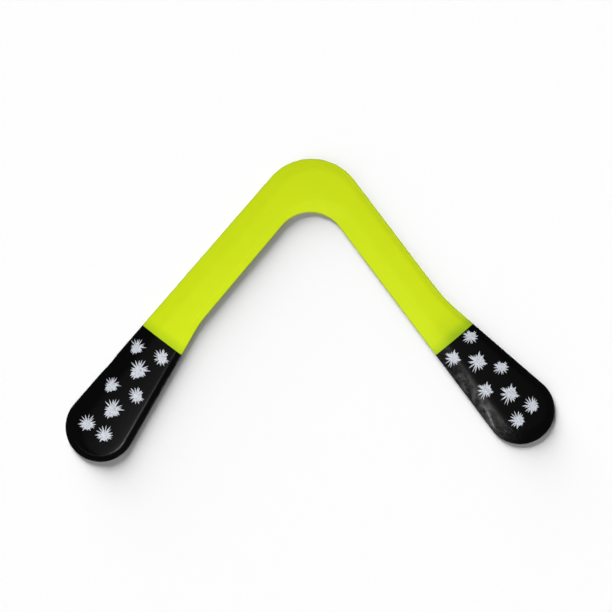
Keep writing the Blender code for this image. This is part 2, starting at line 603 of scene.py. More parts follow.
@dataclass(frozen=True)
class Joint:
    """Where a tip cover meets the bare blade, and how finely both are drawn out from it."""

    start: float = 115.6
    gap: float = 0.3
    seam: float = 0.03
    lip: float = 0.12
    support: float = 0.35
    rib_step: float = 1.4
    spokes: int = 96

    @property
    def cover_edge(self) -> float:
        """How far along the arm the cover's open end is."""
        return self.start + self.gap

    @property
    def blade_edge(self) -> float:
        """How far along the arm the blade's shoulder is."""
        return self.cover_edge - self.seam

    def stations(self, first: float, last: float) -> Array:
        """Even distances along an arm, about a rib's step apart."""
        return np.linspace(first, last, 2 + int(abs(last - first) / self.rib_step))

    def from_lip(self, edge: float, last: float) -> Array:
        """Distances from behind an edge's softened lip to another place along the arm."""
        sense = np.sign(last - edge)
        return np.append(edge + sense * self.lip, self.stations(edge + sense * self.support, last))


def with_seam(grid: Array, arms: tuple[Arm, ...], start: float) -> Array:
    """Add to a grid each point's distance from the nearest seam, less than 0 under a cover.

    Args:
        grid: Rows that begin with x and y.
        arms: The arms whose seams count.
        start: How far along an arm its seam is.

    Returns:
        The grid with one more column: the least of start less the distance along each arm.
    """
    along = [(grid[..., :2] - arm.start) @ arm.along for arm in arms]
    seam = start - np.max(along, axis=0)
    return np.concatenate([grid, seam[..., None]], axis=-1)


@dataclass(frozen=True)
class Blade:
    """The yellow moulding: the elbow, both bare arms and a tongue into each tip cover."""

    left: Arm
    right: Arm
    joint: Joint
    name: str = "blade_moulding"
    node: str = "blade"
    elbow_rays: int = 100

    def elbow(self) -> list[Array]:
        """Lay the outer skin round the elbow.

        Returns:
            Two grids, the inner edge's half and the outer edge's, whose sections fan out at even
            angles from the left arm's first rib to the right arm's.
        """
        share = np.linspace(0.0, 1.0, self.elbow_rays)
        rays = heading(self.left.rib_angle + (self.right.rib_angle - self.left.rib_angle) * share)
        planform, airfoil = self.left.planform, self.left.airfoil
        edges, slant = planform.ribs(np.tile(self.left.start, (len(rays), 1)), rays)
        middles, trailing = edges.mean(axis=1), smooth_step(share, 0.0, 1.0)
        inner = airfoil.half_grid(edges[:, 0], middles, slant[:, 0], trailing, Shell.OUTER)
        outer = airfoil.half_grid(edges[:, 1], middles, slant[:, 1], 1 - trailing, Shell.OUTER)
        return [inner, outer]

    def arm_skin(self, arm: Arm) -> list[Array]:
        """Lay an arm's skin from the elbow out.

        Args:
            arm: The arm.

        Returns:
            Two grids that run along the bare arm, over its shoulder and along the tongue up to the
            centre of the tip.
        """
        edge = self.joint.blade_edge
        bare = arm.sides(self.joint.from_lip(edge, 0.0)[::-1], Shell.OUTER)
        lip = arm.sides(np.array([edge]), Shell.LIP)
        tongue = arm.sides(self.joint.stations(edge, arm.length), Shell.TONGUE)
        return [np.concatenate(parts) for parts in zip(bare, lip, tongue)]

    def build(self) -> bpy.types.Object:
        """Build the moulding.

        Returns:
            The piece.
        """
        grids = self.elbow()
        for arm in (self.left, self.right):
            grids += [*self.arm_skin(arm), arm.cap(self.joint.spokes, Shell.TONGUE)]
        arms = (self.left, self.right)
        grids = [with_seam(grid, arms, self.joint.cover_edge) for grid in grids]
        return Patchwork(self.name, self.left.planform.origin, FACTS, grids).build()


@dataclass(frozen=True)
class TipCover:
    """A black sleeve over the round end of an arm, open towards the elbow."""

    arm: Arm
    joint: Joint

    @property
    def name(self) -> str:
        """The piece's name."""
        return f"{self.arm.name}_tip_sleeve"

    @property
    def node(self) -> str:
        """The CAD node that the sleeve stands for."""
        return f"{self.arm.name}_tip_cover"

    def build(self) -> bpy.types.Object:
        """Build the sleeve: out of its cavity, over the lip of its open end and round the tip.

        Returns:
            The piece.
        """
        arm, edge = self.arm, self.joint.cover_edge
        cavity = arm.sides(self.joint.stations(arm.length, edge), Shell.CAVITY)
        lip = arm.sides(np.array([edge]), Shell.LIP)
        outside = arm.sides(self.joint.from_lip(edge, arm.length), Shell.OUTER)
        grids = [np.concatenate(parts) for parts in zip(cavity, lip, outside)]
        grids += [arm.cap(self.joint.spokes, shell) for shell in (Shell.OUTER, Shell.CAVITY)]
        grids = [with_seam(grid, (arm,), edge) for grid in grids]
        return Patchwork(self.name, arm.planform.origin, FACTS, grids).build()


class Design(Enum):
    """A design of burst: the degrees from +X to its long needles, and its needles' seed."""

    LEFT_FIRST = (95.0, 2738)
    LEFT_SECOND = (185.0, 2627)
    LEFT_THIRD = (85.0, 2601)
    RIGHT_FIRST = (265.0, 2627)
    RIGHT_SECOND = (220.0, 966)
    RIGHT_THIRD = (140.0, 2178)


@dataclass(frozen=True)
class Burst:
    """One printed burst: a lumpy core that throws out needles, the longest of them to one side.

    Its place is measured along and across the arm from the centre of its tip. A needle's length,
    as a share of the radius, and its half width, in radians, are their first number on the side
    of the short needles and the sum of both on the side of the long ones. Each is then spread at
    random.
    """

    along: float
    across: float
    radius: float
    design: Design
    needles: int = 21
    unevenness: float = 0.35
    crowding: float = 0.30
    core: float = 0.45
    core_shift: float = 0.06
    length: tuple[float, float] = (0.94, 0.16)
    length_spread: tuple[float, float] = (-0.28, 0.22)
    width: tuple[float, float] = (0.29, -0.1015)
    width_spread: tuple[float, float] = (0.7, 1.3)
    sharpness: float = 1.4

    def reach(self, angles: Array) -> Array:
        """Work out how far the ink reaches at each angle.

        Args:
            angles: Angles round the burst, in radians.

        Returns:
            The furthest of the core and all the needles. The core is a circle set a little back
            from the side of the long needles. A needle of length L rises from the core's radius
            c as c + (L - c) (1 - angle from it / half its width) ^ sharpness.
        """
        turn, seed = self.design.value
        rng = np.random.default_rng(seed)
        moved = rng.uniform(-self.unevenness, self.unevenness, self.needles)
        spaced = 2 * np.pi * (np.arange(self.needles) + moved) / self.needles
        aim = spaced + self.crowding * np.sin(spaced)
        nearness = 0.5 + 0.5 * np.cos(aim)
        length = self.length[0] + self.length[1] * nearness
        length = length + rng.uniform(*self.length_spread, self.needles)
        width = self.width[0] + self.width[1] * nearness
        width = width * rng.uniform(*self.width_spread, self.needles)
        local = angles - np.radians(turn)
        core = (self.core - self.core_shift * np.cos(local))[:, None]
        away = abs((local[:, None] - aim + np.pi) % (2 * np.pi) - np.pi)
        rise = (1.0 - np.clip(away / width, 0.0, 1.0)) ** self.sharpness
        return self.radius * (core + (length - core) * rise).max(axis=1)


@dataclass(frozen=True)
class Print:
    """The bursts of ink on one tip cover: thin films, highest in the middle and sunk at the rim."""

    arm: Arm
    bursts: tuple[Burst, ...]
    film: float = 0.05
    angles: int = 576
    rings: tuple[float, ...] = (0.0, 0.3, 0.6, 0.82, 0.94, 1.0, 0.0)
    profile: tuple[float, ...] = (1.0, 1.0, 0.95, 0.85, 0.6, -0.3, -0.6)
    facts: tuple[str, ...] = ("share",)

    @property
    def name(self) -> str:
        """The piece's name."""
        return f"{self.arm.name}_tip_print"

    def film_grid(self, burst: Burst) -> Array:
        """Lay one burst's film on the cover.

        Args:
            burst: The burst.

        Returns:
            A closed grid: its rows go round the burst, and its columns go from the centre out to
            the rim and back underneath. Each point is the airfoil's height there plus the film's
            own height at that share of the reach.
        """
        angles = np.linspace(0.0, 2 * np.pi, self.angles + 1)
        reach = burst.reach(angles)
        reach[-1] = reach[0]
        share = np.array(self.rings)
        radius = reach[:, None] * share
        arm = self.arm
        centre = arm.tip.centre + burst.along * arm.along + burst.across * arm.across
        plane = centre + radius[..., None] * heading(angles)[:, None]
        height = arm.top(plane.reshape(-1, 2)).reshape(radius.shape)
        height = height + self.film * np.array(self.profile)
        return np.concatenate([plane, np.stack([height, radius / burst.radius], axis=-1)], axis=-1)

    def build(self) -> bpy.types.Object:
        """Build all the films as one piece."""
        grids = [self.film_grid(burst) for burst in self.bursts]
        return Patchwork(self.name, self.arm.planform.origin, self.facts, grids).build()


# Surface effects

Colour = tuple[float, float, float, float]
Triple = tuple[float, float, float]
Socket = bpy.types.NodeSocket
Node = bpy.types.Node


@dataclass(frozen=True)
class Ramp:
    """A smooth ramp, from low at start to high at end."""

    start: float
    end: float
    low: float = 0.0
    high: float = 1.0


@dataclass(frozen=True)
class Wiring:
    """A node tree, with short ways to add nodes that are already joined up."""

    tree: bpy.types.NodeTree

    def node(self, kind: str, inputs: dict[str | int, object], **settings: object) -> Node:
        """Add a node.

        Args:
            kind: What follows ShaderNode in its type.
            inputs: For each input, by name or number, its value or the socket that feeds it.
            settings: The node's own properties.

        Returns:
            The node.
        """
        made = self.tree.nodes.new(f"ShaderNode{kind}")
        for name, value in settings.items():
            setattr(made, name, value)
        for key, value in inputs.items():
            if isinstance(value, Socket):
                self.join(value, made.inputs[key])
            else:
                made.inputs[key].default_value = value
        return made

    def join(self, source: Socket, target: Socket) -> None:
        """Join an output to an input."""
        self.tree.links.new(source, target)

    def group(self, tree: bpy.types.NodeTree, **inputs: float | Socket) -> Node:
        """Place a shared effect."""
        return self.node("Group", inputs, node_tree=tree)

    def math(self, operation: str, *values: float | Socket, clamp: bool = False) -> Socket:
        """Add a Math node and return its result."""
        made = self.node("Math", dict(enumerate(values)), operation=operation, use_clamp=clamp)
        return made.outputs[0]

    def product(self, first: Socket, *others: float | Socket) -> Socket:
        """Multiply a value by each of the others in turn."""
        return reduce(lambda so_far, other: self.math("MULTIPLY", so_far, other), others, first)

    def vector(self, operation: str, *values: Triple | Socket) -> Node:
        """Add a Vector Math node."""
        return self.node("VectorMath", dict(enumerate(values)), operation=operation)

    def drawn_out(self, place: Socket, turn: float | Socket, factors: Triple) -> Socket:
        """Stretch the pattern that will be read at a place.

        Args:
            place: The place.
            turn: How far it is turned about Z, in radians.
            factors: What its three axes are then multiplied by, less than 1 for a longer pattern.

        Returns:
            The new place.
        """
        about_z = {"Vector": place, "Angle": turn}
        lined_up = self.node("VectorRotate", about_z, rotation_type="Z_AXIS").outputs[0]
        return self.vector("MULTIPLY", lined_up, factors).outputs["Vector"]

    def ramp(self, value: Socket, ramp: Ramp) -> Socket:
        """Read a ramp at a value."""
        ends = {0: value, 1: ramp.start, 2: ramp.end, 3: ramp.low, 4: ramp.high}
        return self.node("MapRange", ends, interpolation_type="SMOOTHSTEP").outputs[0]

    def mix(self, share: float | Socket, first: Colour | Socket, second: Colour | Socket) -> Socket:
        """Mix two colours."""
        return self.node("Mix", {0: share, 6: first, 7: second}, data_type="RGBA").outputs[2]

    def fact(self, name: str) -> Socket:
        """Read one of the piece's own attributes."""
        return self.node("Attribute", {}, attribute_name=name).outputs["Fac"]

    def noise(self, place: Socket, scale: float | Socket, detail: float) -> Socket:
        """Read a noise of a number of cycles a metre."""
        return self.node("TexNoise", {"Vector": place, "Scale": scale, "Detail": detail}).outputs[0]

    def cells(self, place: Socket, scale: float | Socket, feature: str = "F1") -> Socket:
        """Read the distance from the middle of the nearest cell, at a number of cells a metre."""
        inputs = {"Vector": place, "Scale": scale}
        return self.node("TexVoronoi", inputs, feature=feature).outputs[0]


@dataclass(frozen=True)
class Effects:
    """Surface effects that several finishes share, each of them a node group that is made once."""

    fine_scale: float = 4.0
    fine_share: float = 0.33
    broad_scale: float = 0.06
    fade: Ramp = Ramp(0.0, 1.0, 1.0, 0.0)
    breaks: Ramp = Ramp(0.42, 0.68)
    scuff_limit: float = 0.85
    scuff_span: float = 0.5
    scuff_contrast: float = 5.0
    line_stretch: Triple = (0.12, 1.0, 1.0)
    line_scale: float = 12.0
    lines: Ramp = Ramp(0.62, 0.74)
    lined_patches: Ramp = Ramp(0.4, 0.7)

    @staticmethod
    def start(name: str, **inputs: float | None) -> tuple[Wiring, dict[str, Socket]]:
        """Start a node group.

        Args:
            name: The group's name.
            inputs: Each input's name and first value, or None for a vector.

        Returns:
            The group's wiring, and its inputs by name.
        """
        tree = bpy.data.node_groups.new(name, "ShaderNodeTree")
        for label, value in inputs.items():
            kind = "NodeSocketVector" if value is None else "NodeSocketFloat"
            socket = tree.interface.new_socket(label, in_out="INPUT", socket_type=kind)
            if value is not None:
                socket.default_value = value
        entry = tree.nodes.new("NodeGroupInput")
        return Wiring(tree), {socket.name: socket for socket in entry.outputs if socket.name}

    @staticmethod
    def end(wiring: Wiring, **results: Socket) -> bpy.types.NodeTree:
        """Finish a node group.

        Args:
            wiring: The group's wiring.
            results: Each output's name, and the number that it puts out.

        Returns:
            The group.
        """
        for label in results:
            wiring.tree.interface.new_socket(label, in_out="OUTPUT", socket_type="NodeSocketFloat")
        way_out = wiring.tree.nodes.new("NodeGroupOutput")
        for label, result in results.items():
            wiring.join(result, way_out.inputs[label])
        return wiring.tree

    @cached_property
    def grain(self) -> bpy.types.NodeTree:
        """Make the moulded grain: pits of one size under a finer and lower noise.

        Returns:
            The group. Its height is the pits plus a share of the fine noise, and its mottle is a
            broad noise.
        """
        wiring, given = self.start("grain", Place=None, Scale=900.0)
        place, scale = given["Place"], given["Scale"]
        pits = wiring.cells(place, scale, "SMOOTH_F1")
        fine = wiring.noise(place, wiring.math("MULTIPLY", scale, self.fine_scale), detail=2.0)
        height = wiring.math("MULTIPLY_ADD", fine, self.fine_share, pits)
        mottle = wiring.noise(place, wiring.math("MULTIPLY", scale, self.broad_scale), detail=4.0)
        return self.end(wiring, Height=height, Mottle=mottle)

    @cached_property
    def edge_wear(self) -> bpy.types.NodeTree:
        """Make the wear along a rim.

        Returns:
            The group. Its wear fades out over a width in from the edge, times a broken-up noise.
        """
        wiring, given = self.start("edge_wear", Place=None, Inset=0.0, Width=1.0, Scale=260.0)
        inwards = wiring.math("DIVIDE", given["Inset"], given["Width"])
        broken = wiring.ramp(wiring.noise(given["Place"], given["Scale"], detail=5.0), self.breaks)
        return self.end(wiring, Wear=wiring.product(wiring.ramp(inwards, self.fade), broken))

    @cached_property
    def scuffs(self) -> bpy.types.NodeTree:
        """Make rubbed patches that are crossed by fine scratches.

        Returns:
            The group. Its scuff is a broad noise above a limit that falls as the amount rises, and
            its scratch is a much finer noise, drawn out along one direction, inside the patches.
        """
        wiring, given = self.start("scuffs", Place=None, Scale=120.0, Amount=0.5, Turn=0.0)
        place, scale = given["Place"], given["Scale"]
        patches = wiring.noise(place, scale, detail=5.0)
        lowered = wiring.math("MULTIPLY", given["Amount"], self.scuff_span)
        above = wiring.math("SUBTRACT", patches, wiring.math("SUBTRACT", self.scuff_limit, lowered))
        scuff = wiring.math("MULTIPLY", above, self.scuff_contrast, clamp=True)
        drawn_out = wiring.drawn_out(place, given["Turn"], self.line_stretch)
        fine = wiring.noise(drawn_out, wiring.math("MULTIPLY", scale, self.line_scale), detail=2.0)
        lined = wiring.ramp(patches, self.lined_patches)
        scratch = wiring.product(wiring.ramp(fine, self.lines), lined)
        return self.end(wiring, Scuff=scuff, Scratch=scratch)


# Finishes


@dataclass(frozen=True)
class Finish:
    """A material, as a Principled BSDF with shared effects on it.

    Scales are in cycles a metre. Ramps on the distance in from the edge and on the distance from
    the seam are in millimetres, and the seam's distance is less than 0 under a cover.
    """

    name: str
    slot: Slot
    effects: Effects
    roughness: float = 0.5
    roughness_spread: float = 0.1
    gloss: float = 0.5
    bump_strength: float = 0.3
    bump_distance: float = 0.00002

    def material(self) -> bpy.types.Material:
        """Build the material, which every finish does in its own way."""
        raise NotImplementedError

    def start(self) -> tuple[bpy.types.Material, Wiring, Node, Socket]:
        """Make the material.

        Returns:
            The material, its wiring, its shader and the Object coordinates.
        """
        material = bpy.data.materials.new(self.name)
        material.use_nodes = True
        wiring = Wiring(material.node_tree)
        shader = material.node_tree.nodes["Principled BSDF"]
        shader.inputs["Specular IOR Level"].default_value = self.gloss
        return material, wiring, shader, wiring.node("TexCoord", {}).outputs["Object"]

    def matt(self, wiring: Wiring, mottle: Socket) -> Socket:
        """Spread the roughness evenly about its middle value by a mottle from 0 to 1."""
        lowest = self.roughness - self.roughness_spread / 2
        return wiring.math("MULTIPLY_ADD", mottle, self.roughness_spread, lowest)

    def feed(
        self, wiring: Wiring, shader: Node, colour: Socket, matt: Socket, height: Socket
    ) -> None:
        """Join what was worked out to the shader.

        Args:
            wiring: The material's wiring.
            shader: Its shader.
            colour: The finished colour.
            matt: The finished roughness.
            height: The height that the bump follows.
        """
        bumps = {"Strength": self.bump_strength, "Distance": self.bump_distance, "Height": height}
        wiring.join(colour, shader.inputs["Base Color"])
        wiring.join(matt, shader.inputs["Roughness"])
        wiring.join(wiring.node("Bump", bumps).outputs[0], shader.inputs["Normal"])


@dataclass(frozen=True)
class YellowPlastic(Finish):
    """Fluorescent yellow plastic with a satin grain, dulled to a darker green next to the covers.

    In the right arm's outer corner painted shade reaches further from the cover, where the rounded
    leading edge faces away from the light.
    """

    roughness: float = 0.58
    roughness_spread: float = 0.12
    gloss: float = 0.13
    bump_strength: float = 0.25
    clean: Colour = (0.610, 0.755, 0.0040, 1.0)
    dulled: Colour = (0.300, 0.475, 0.006, 1.0)
    rubbed: Colour = (0.66, 0.79, 0.06, 1.0)
    # Painted shade: the colour of the darkened rim.
    rim: Colour = (0.200, 0.300, 0.020, 1.0)
    grain_scale: float = 1100.0
    scuff_scale: float = 60.0
    scuff_amount: float = 0.35
    wear_width: float = 0.9
    outwards: Triple = (0.742, 0.670, 0.0)
    # Painted shade: where the right arm's outer corner is darkened, and how far from its cover.
    corner: Ramp = Ramp(0.045, 0.066)
    corner_painted_shade: Ramp = Ramp(0.0, 26.0, 0.38, 0.0)
    haze: Ramp = Ramp(0.0, 9.0, 0.56, 0.0)
    haze_mottle: Ramp = Ramp(0.2, 0.8, 0.8, 1.2)
    dirt: Ramp = Ramp(0.0, 0.5, 0.5, 0.0)
    # Painted shade: how the rim darkens over the last millimetre in from the edge.
    rim_shade: Ramp = Ramp(0.1, 0.9, 0.5, 0.0)
    tone: Ramp = Ramp(0.25, 0.75, 0.0, 0.05)
    wear_share: float = 0.35
    scuff_roughness: float = 0.12
    scratch_depth: float = 0.6

    def material(self) -> bpy.types.Material:
        """Build the material.

        Returns:
            The material. Darkening next to the covers with painted shade in the right arm's outer
            corner, worn edges, painted shade along the rim and a broad tone go on one after the
            other.
        """
        material, wiring, shader, place = self.start()
        effects = self.effects
        inset, seam = wiring.fact("inset"), wiring.fact("seam")
        grain = wiring.group(effects.grain, Place=place, Scale=self.grain_scale)
        scuffs = wiring.group(
            effects.scuffs, Place=place, Scale=self.scuff_scale, Amount=self.scuff_amount
        )
        wear = wiring.group(effects.edge_wear, Place=place, Inset=inset, Width=self.wear_width)
        mottle = grain.outputs["Mottle"]
        # Painted shade: the right arm's outer corner darkens further from the cover, as if its
        # leading edge faced away from the light.
        outwards = wiring.vector("DOT_PRODUCT", place, self.outwards).outputs["Value"]
        corner = wiring.product(
            wiring.ramp(outwards, self.corner), wiring.ramp(seam, self.corner_painted_shade)
        )
        haze = wiring.math("ADD", wiring.ramp(seam, self.haze), corner)
        hazed = wiring.product(haze, wiring.ramp(mottle, self.haze_mottle))
        # Darker green next to the covers, with the painted shade of the right arm's outer corner
        # added in.
        dulling_and_painted_shade = wiring.math("ADD", hazed, wiring.ramp(seam, self.dirt), clamp=True)
        colour = wiring.mix(dulling_and_painted_shade, self.clean, self.dulled)
        worn = wiring.product(wear.outputs["Wear"], self.wear_share)
        colour = wiring.mix(worn, colour, self.rubbed)
        # Painted shade: the edge wall's darkness, painted as a darker green rim along every edge.
        colour = wiring.mix(wiring.ramp(inset, self.rim_shade), colour, self.rim)
        colour = wiring.mix(wiring.ramp(mottle, self.tone), colour, self.dulled)
        matt = self.matt(wiring, mottle)
        matt = wiring.math("MULTIPLY_ADD", scuffs.outputs["Scuff"], self.scuff_roughness, matt)
        scratch = scuffs.outputs["Scratch"]
        height = wiring.math("MULTIPLY_ADD", scratch, -self.scratch_depth, grain.outputs["Height"])
        self.feed(wiring, shader, colour, matt, height)
        return material


@dataclass(frozen=True)
class BlackPlastic(Finish):
    """Satin black plastic with a leathery grain.

    The right cover is rubbed grey and scraped along its trailing edge. That grey is partly wear and
    partly painted reflection of the lamp on the taper, and its light scratches and flecks are
    partly painted glints. A faint painted highlight marks the top of the left cover's rolled
    leading edge.
    """

    roughness: float = 0.28
    roughness_spread: float = 0.10
    gloss: float = 0.14
    bump_strength: float = 0.45
    bump_distance: float = 0.00006
    clean: Colour = (0.0020, 0.0020, 0.0020, 1.0)
    # Warm grey of rubbed plastic, which also paints in the lamp's reflection on the right cover's
    # trailing taper.
    rubbed: Colour = (0.062, 0.052, 0.046, 1.0)
    # Light grey of bare plastic: for worn edges, and also for painted glints on scratches and
    # flecks and the painted highlight atop the left cover's rolled leading edge.
    bare: Colour = (0.30, 0.30, 0.30, 1.0)
    grain_scale: float = 700.0
    scuff_scale: float = 110.0
    scuff_amount: float = 0.62
    scratch_turn: float = np.radians(48.0)
    scratch_depth: float = 0.8
    wear_width: float = 1.2
    leather_scale: float = 420.0
    cloud_scale: float = 170.0
    right_side: Ramp = Ramp(0.0, 0.05)
    # Where the grey wear and painted reflection go: the right cover's trailing taper, fading
    # towards the seam and the round end.
    rub_and_sheen_edge: Ramp = Ramp(1.0, 15.0, 1.0, 0.0)
    rub_and_sheen_length: Ramp = Ramp(-88.0, -70.0)
    less_rub_and_sheen: Ramp = Ramp(-62.0, 0.0, 1.0, 0.45)
    rub_and_sheen_patches: Ramp = Ramp(0.40, 0.68)
    rub_and_sheen_share: float = 0.45
    wear_share: float = 0.10
    scratch_and_glint_share: float = 0.55
    scrape_place: Triple = (0.1287, -0.0712, 0.0)
    scrape_turn: float = np.radians(63.0)
    scrape_stretch: Triple = (0.12, 1.0, 0.0)
    scrape_reach: Ramp = Ramp(0.0003, 0.0016, 1.0, 0.0)
    scrape_scale: float = 2200.0
    scrape_flecks: Ramp = Ramp(0.40, 0.56)
    scrape_and_glint_share: float = 0.62
    # Painted highlight along the top of the left cover's rolled leading edge.
    crest_rise: Ramp = Ramp(4.0, 4.6)
    crest_fall: Ramp = Ramp(4.7, 5.3, 1.0, 0.0)
    crest_patches: Ramp = Ramp(0.35, 0.65, 0.4, 1.0)
    crest_highlight_share: float = 0.055
    dull_patches: Ramp = Ramp(0.36, 0.60, 0.02, 0.26)
    dull_by_seam: Ramp = Ramp(-50.0, 0.0, 0.0, 0.2)
    leather_lift: float = 0.8
    rubbed_leather_lift: float = 5.0

    def scrape_and_glints(self, wiring: Wiring, place: Socket) -> Socket:
        """Mask one long scraped strip beside the right cover's trailing edge, broken up into flecks
        that are painted light grey, both as scraped plastic and as glints.

        Args:
            wiring: The material's wiring.
            place: The Object coordinates.

        Returns:
            1 in the flecks near the middle of an ellipse that is drawn out along the strip.
        """
        offset = wiring.vector("SUBTRACT", place, self.scrape_place).outputs["Vector"]
        drawn_out = wiring.drawn_out(offset, self.scrape_turn, self.scrape_stretch)
        away = wiring.vector("LENGTH", drawn_out).outputs["Value"]
        noise = wiring.noise(drawn_out, self.scrape_scale, detail=3.0)
        flecks = wiring.ramp(noise, self.scrape_flecks)
        return wiring.product(wiring.ramp(away, self.scrape_reach), flecks)

    def crest_highlight(self, wiring: Wiring, inset: Socket, clouds: Socket, elsewhere: Socket) -> Socket:
        """Mask the painted highlight along the line where the top face meets the rolled leading
        edge.

        Args:
            wiring: The material's wiring.
            inset: The distance in from the edge.
            clouds: A noise that makes the line uneven.
            elsewhere: 1 where there is no such line.

        Returns:
            A narrow band at one distance in from the edge.
        """
        rise, fall = wiring.ramp(inset, self.crest_rise), wiring.ramp(inset, self.crest_fall)
        here = wiring.math("SUBTRACT", 1.0, elsewhere)
        return wiring.product(rise, fall, wiring.ramp(clouds, self.crest_patches), here)

    def material(self) -> bpy.types.Material:
        """Build the material.

        Returns:
            The material. Rubbed patches with painted reflection, worn edges, scratches and scraped
            flecks with painted glints, and the painted highlight atop the rolled leading edge go on
            one after the other.
        """
        material, wiring, shader, place = self.start()
        effects = self.effects
        inset, trailing, seam = (wiring.fact(name) for name in FACTS)
        grain = wiring.group(effects.grain, Place=place, Scale=self.grain_scale)
        scuffs = wiring.group(
            effects.scuffs,
            Place=place,
            Scale=self.scuff_scale,
            Amount=self.scuff_amount,
            Turn=self.scratch_turn,
        )
        wear = wiring.group(effects.edge_wear, Place=place, Inset=inset, Width=self.wear_width)
        leather = wiring.noise(place, self.leather_scale, detail=5.0)
        clouds = wiring.noise(place, self.cloud_scale, detail=4.0)
        # The right cover's trailing taper faces the softbox: its grey patches are wear and also
        # painted reflection.
        right = wiring.ramp(wiring.node("SeparateXYZ", {0: place}).outputs["X"], self.right_side)
        edge = wiring.product(trailing, wiring.ramp(inset, self.rub_and_sheen_edge))
        side = wiring.product(edge, wiring.product(right, wiring.ramp(seam, self.rub_and_sheen_length)))
        rubbing_and_sheen = wiring.product(side, wiring.ramp(seam, self.less_rub_and_sheen))
        rub_and_sheen = wiring.product(rubbing_and_sheen, wiring.ramp(leather, self.rub_and_sheen_patches), self.rub_and_sheen_share)
        colour = wiring.mix(rub_and_sheen, self.clean, self.rubbed)
        worn = wiring.product(wear.outputs["Wear"], self.wear_share)
        colour = wiring.mix(worn, colour, self.bare)
        # Scratches in the grey patches, drawn light grey: real scratches that also paint in glints.
        scratches_and_glints = wiring.product(scuffs.outputs["Scratch"], rubbing_and_sheen)
        colour = wiring.mix(wiring.product(scratches_and_glints, self.scratch_and_glint_share), colour, self.bare)
        # Flecks along a scraped strip, painted light grey: real scraped plastic that also paints in
        # glints.
        scrape_and_glints = wiring.product(self.scrape_and_glints(wiring, place), self.scrape_and_glint_share)
        colour = wiring.mix(scrape_and_glints, colour, self.bare)
        # Painted highlight: a faint light line on the left cover where the top face meets the
        # rolled leading edge.
        crest_highlight = self.crest_highlight(wiring, inset, clouds, wiring.math("ADD", trailing, right, clamp=True))
        colour = wiring.mix(wiring.product(crest_highlight, self.crest_highlight_share), colour, self.bare)
        dull = wiring.math(
            "ADD", wiring.ramp(clouds, self.dull_patches), wiring.ramp(seam, self.dull_by_seam)
        )
        matt = wiring.math("MULTIPLY_ADD", dull, side, self.matt(wiring, grain.outputs["Mottle"]))
        grainy = grain.outputs["Height"]
        height = wiring.math("MULTIPLY_ADD", scratches_and_glints, -self.scratch_depth, grainy)
        lift = wiring.math("MULTIPLY_ADD", side, self.rubbed_leather_lift, self.leather_lift)
        height = wiring.math("MULTIPLY_ADD", leather, lift, height)
        self.feed(wiring, shader, colour, matt, height)
        return material


@dataclass(frozen=True)
class WhiteInk(Finish):
    """Cool white printing ink, matt and a little patchy, with pinholes down to the black."""

    roughness: float = 0.62
    roughness_spread: float = 0.16
    bump_strength: float = 0.4
    solid: Colour = (0.60, 0.63, 0.69, 1.0)
    thin: Colour = (0.36, 0.38, 0.42, 1.0)
    hole: Colour = (0.03, 0.03, 0.033, 1.0)
    grain_scale: float = 2400.0
    patch_scale: float = 900.0
    thin_patches: Ramp = Ramp(0.42, 0.66, 0.0, 0.75)
    thin_rim: Ramp = Ramp(0.5, 1.1, 0.0, 0.2)
    pinhole_scale: float = 420.0
    pinholes: Ramp = Ramp(0.05, 0.16, 0.85, 0.0)

    def material(self) -> bpy.types.Material:
        """Build the material.

        Returns:
            The material. The ink thins in patches and towards the needles' points, and then the
            pinholes go in.
        """
        material, wiring, shader, place = self.start()
        grain = wiring.group(self.effects.grain, Place=place, Scale=self.grain_scale)
        patches = wiring.noise(place, self.patch_scale, detail=4.0)
        rim = wiring.ramp(wiring.fact("share"), self.thin_rim)
        thinned = wiring.math("ADD", wiring.ramp(patches, self.thin_patches), rim)
        colour = wiring.mix(thinned, self.solid, self.thin)
        pinholes = wiring.ramp(wiring.cells(place, self.pinhole_scale), self.pinholes)
        colour = wiring.mix(pinholes, colour, self.hole)
        self.feed(wiring, shader, colour, self.matt(wiring, patches), grain.outputs["Height"])
        return material


# Studio


@dataclass(frozen=True)
class Lamp:
    """A soft lamp far away, whose light falls only on the objects that are given to it."""

    name: str
    azimuth: float
    elevation: float
    spread: float
    strength: float
    glossy: bool = True

    def build(self, receivers: list[bpy.types.Object]) -> None:
        """Hang the lamp, aimed at the origin. Its spread and angles are in degrees.

        Args:
            receivers: The objects that it lights.
        """
        data = bpy.data.lights.new(self.name, "SUN")
        data.energy = self.strength
        data.angle = np.radians(self.spread)
        azimuth, elevation = np.radians([self.azimuth, self.elevation])
        level = heading(azimuth) * np.cos(elevation)
        hang(data, Vector((*level, np.sin(elevation))), receivers, self.glossy)


@dataclass(frozen=True)
class Softbox:
    """A square soft light near the object, which lights only what is given to it."""

    name: str
    place: Triple
    width: float
    power: float

    def build(self, receivers: list[bpy.types.Object]) -> None:
        """Hang the softbox, aimed at the origin.

        Args:
            receivers: The objects that it lights.
        """
        data = bpy.data.lights.new(self.name, "AREA")
        data.energy = self.power
        data.size = self.width
        hang(data, Vector(self.place), receivers, glossy=True)


def hang(
    data: bpy.types.Light, place: Vector, receivers: list[bpy.types.Object], glossy: bool
) -> None:
    """Hang a light.

    Args:
        data: The light.
        place: Where it hangs. It aims at the origin.
        receivers: The objects that it lights.
        glossy: Whether they reflect it.
    """
    lamp = bpy.data.objects.new(data.name, data)
    lamp.rotation_euler = place.to_track_quat("Z", "Y").to_euler()
    lamp.location = place
    lamp.visible_camera = False
    lamp.visible_glossy = glossy
    bpy.context.scene.collection.objects.link(lamp)
    lit = bpy.data.collections.new(f"lit_by_{data.name}")
    for receiver in receivers:
        lit.objects.link(receiver)
    lamp.light_linking.receiver_collection = lit


